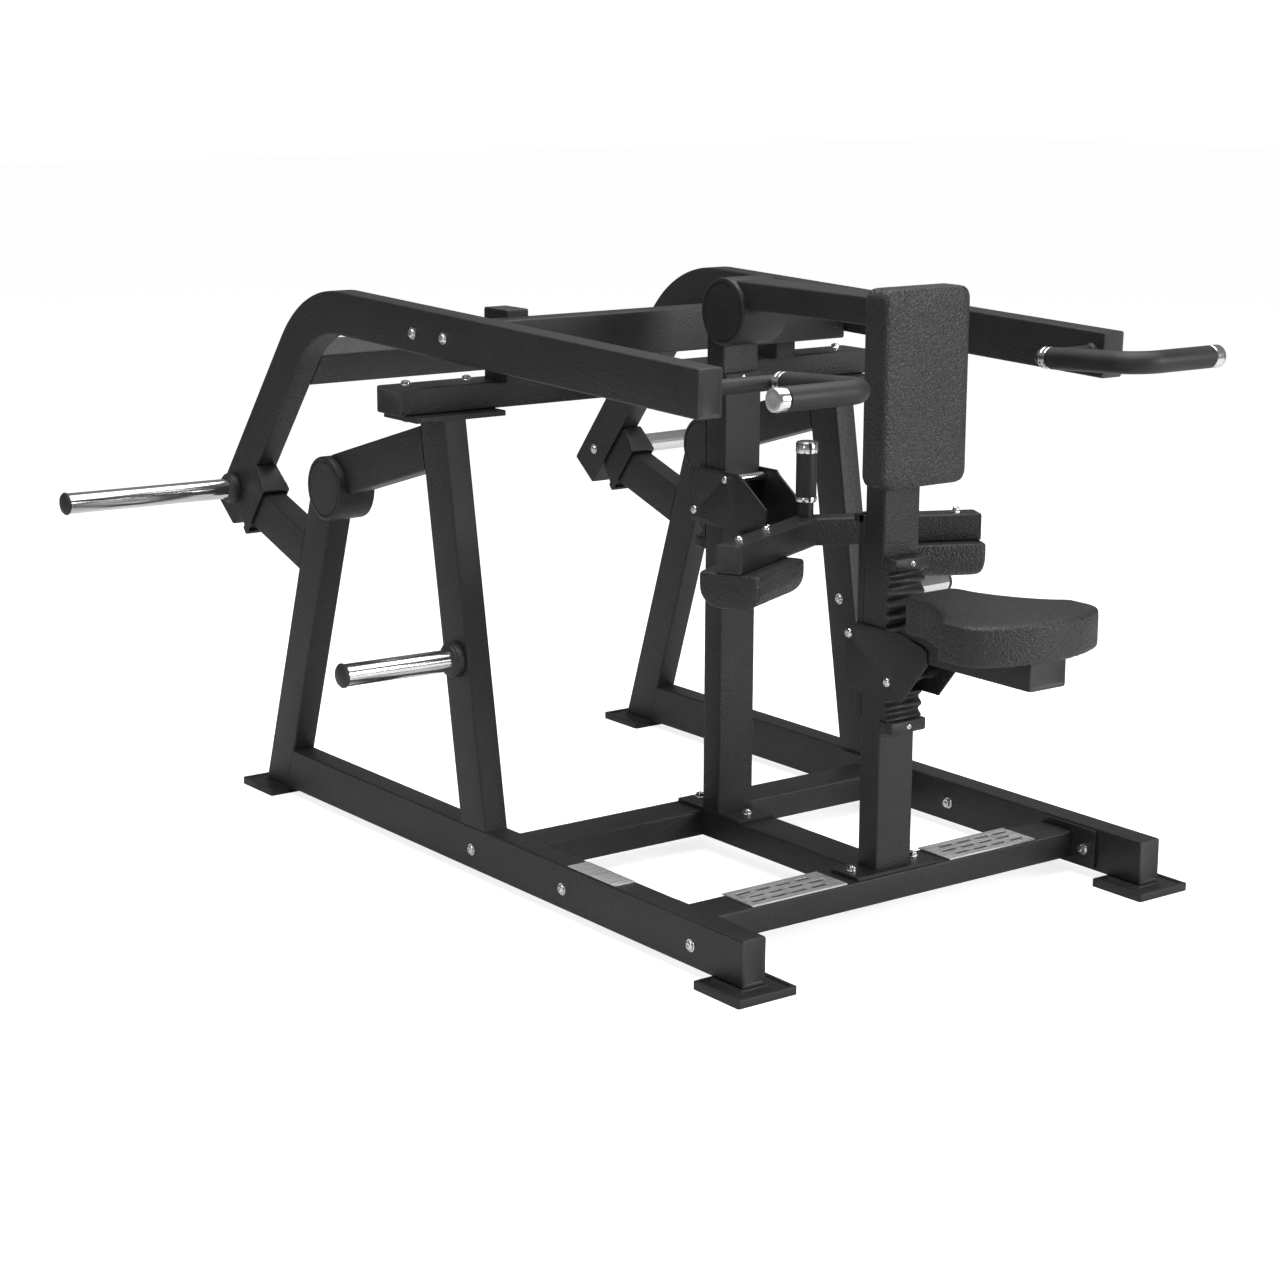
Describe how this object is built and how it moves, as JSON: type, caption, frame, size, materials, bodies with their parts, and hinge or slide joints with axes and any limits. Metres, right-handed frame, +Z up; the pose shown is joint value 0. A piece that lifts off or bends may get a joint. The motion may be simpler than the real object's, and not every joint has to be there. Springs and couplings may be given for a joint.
{
  "type": "plate loaded seated press-down machine",
  "caption": "Black steel plate-loaded seated press-down gym machine with a two-armed lever, looped handles, plate horns, sliding seat and thigh pads.",
  "frame": {"origin": "on the floor, under the centre of the whole machine's bounding box", "axes": "+X to the right seen from the seat end, +Y from the seat end to the plate end, +Z up"},
  "size_m": [2.0964, 2.3747, 1.35],
  "materials": {
    "powder_black": "fine textured black powder coat",
    "satin_black": "satin moulded plastic",
    "rubber_black": "matte moulded rubber",
    "pad_leather": "grained synthetic leather over foam",
    "chrome": "polished chrome plate",
    "tread_steel": "brushed stainless steel with slots"
  },
  "bodies": {
    "frame": {"rail_left": "powder_black", "rail_right": "powder_black", "front_cross_member": "powder_black", "rear_cross_member": "powder_black", "cross_flanges": "powder_black", "base_spine": "powder_black", "feet": "rubber_black", "rear_leg_left": "powder_black", "rear_leg_right": "powder_black", "front_leg_left": "powder_black", "front_leg_right": "powder_black", "side_joints": "powder_black", "braces": "powder_black", "stop_arms": "powder_black", "stop_buffers": "rubber_black", "top_cross_beam": "powder_black", "pivot_posts": "powder_black", "pivot_cross_beam": "powder_black", "pivot_axles": "chrome", "center_post": "powder_black", "center_joint": "powder_black", "top_beam": "powder_black", "seat_post": "powder_black", "chest_pad": "pad_leather", "seat_rack": "powder_black", "seat_glide_strip": "rubber_black", "thigh_rack": "powder_black", "thigh_glide_strip": "rubber_black", "foot_treads": "tread_steel", "name_plate": "tread_steel", "storage_horns": "chrome", "storage_horn_fittings": "satin_black", "frame_bolts": "chrome"},
    "lever": {"arm_left": "powder_black", "arm_right": "powder_black", "lever_cross_tube": "powder_black", "plate_horn_left": "chrome", "plate_horn_right": "chrome", "plate_horn_fittings": "satin_black", "handle_bar_left": "powder_black", "handle_bar_right": "powder_black", "grip_left": "rubber_black", "grip_right": "rubber_black", "grip_collars": "chrome", "pivot_bearings": "satin_black", "lever_bolts": "chrome"},
    "seat_carriage": {"seat_side_plates": "powder_black", "seat_lock_pin": "chrome", "seat_beam": "powder_black", "seat_pad": "pad_leather"},
    "seat_roller": {"seat_roller": "chrome"},
    "thigh_carriage": {"thigh_side_plates": "powder_black", "thigh_lock_pin": "chrome", "thigh_web": "powder_black", "thigh_bar": "powder_black", "thigh_pad_left": "pad_leather", "thigh_pad_right": "pad_leather", "hand_grip": "rubber_black", "hand_grip_fittings": "chrome"},
    "thigh_roller": {"thigh_roller": "chrome"}
  },
  "joints": [
    {"name": "lever_pivot", "type": "hinge", "parent": "frame", "child": "lever", "pos_m": [0, 0.1856, 1.197], "axis": [1, 0, 0], "range_deg": [0, 28]},
    {"name": "seat_height", "type": "slide", "parent": "frame", "child": "seat_carriage", "axis": [0, 0, 1], "range_m": [-0.07, 0.19]},
    {"name": "seat_roller_spin", "type": "hinge", "parent": "seat_carriage", "child": "seat_roller", "pos_m": [0, -0.6344, 0.61], "axis": [1, 0, 0], "continuous": true},
    {"name": "thigh_height", "type": "slide", "parent": "frame", "child": "thigh_carriage", "axis": [0, 0, 1], "range_m": [-0.05, 0.2]},
    {"name": "thigh_roller_spin", "type": "hinge", "parent": "thigh_carriage", "child": "thigh_roller", "pos_m": [0, -0.2068, 0.88], "axis": [1, 0, 0], "continuous": true}
  ]
}
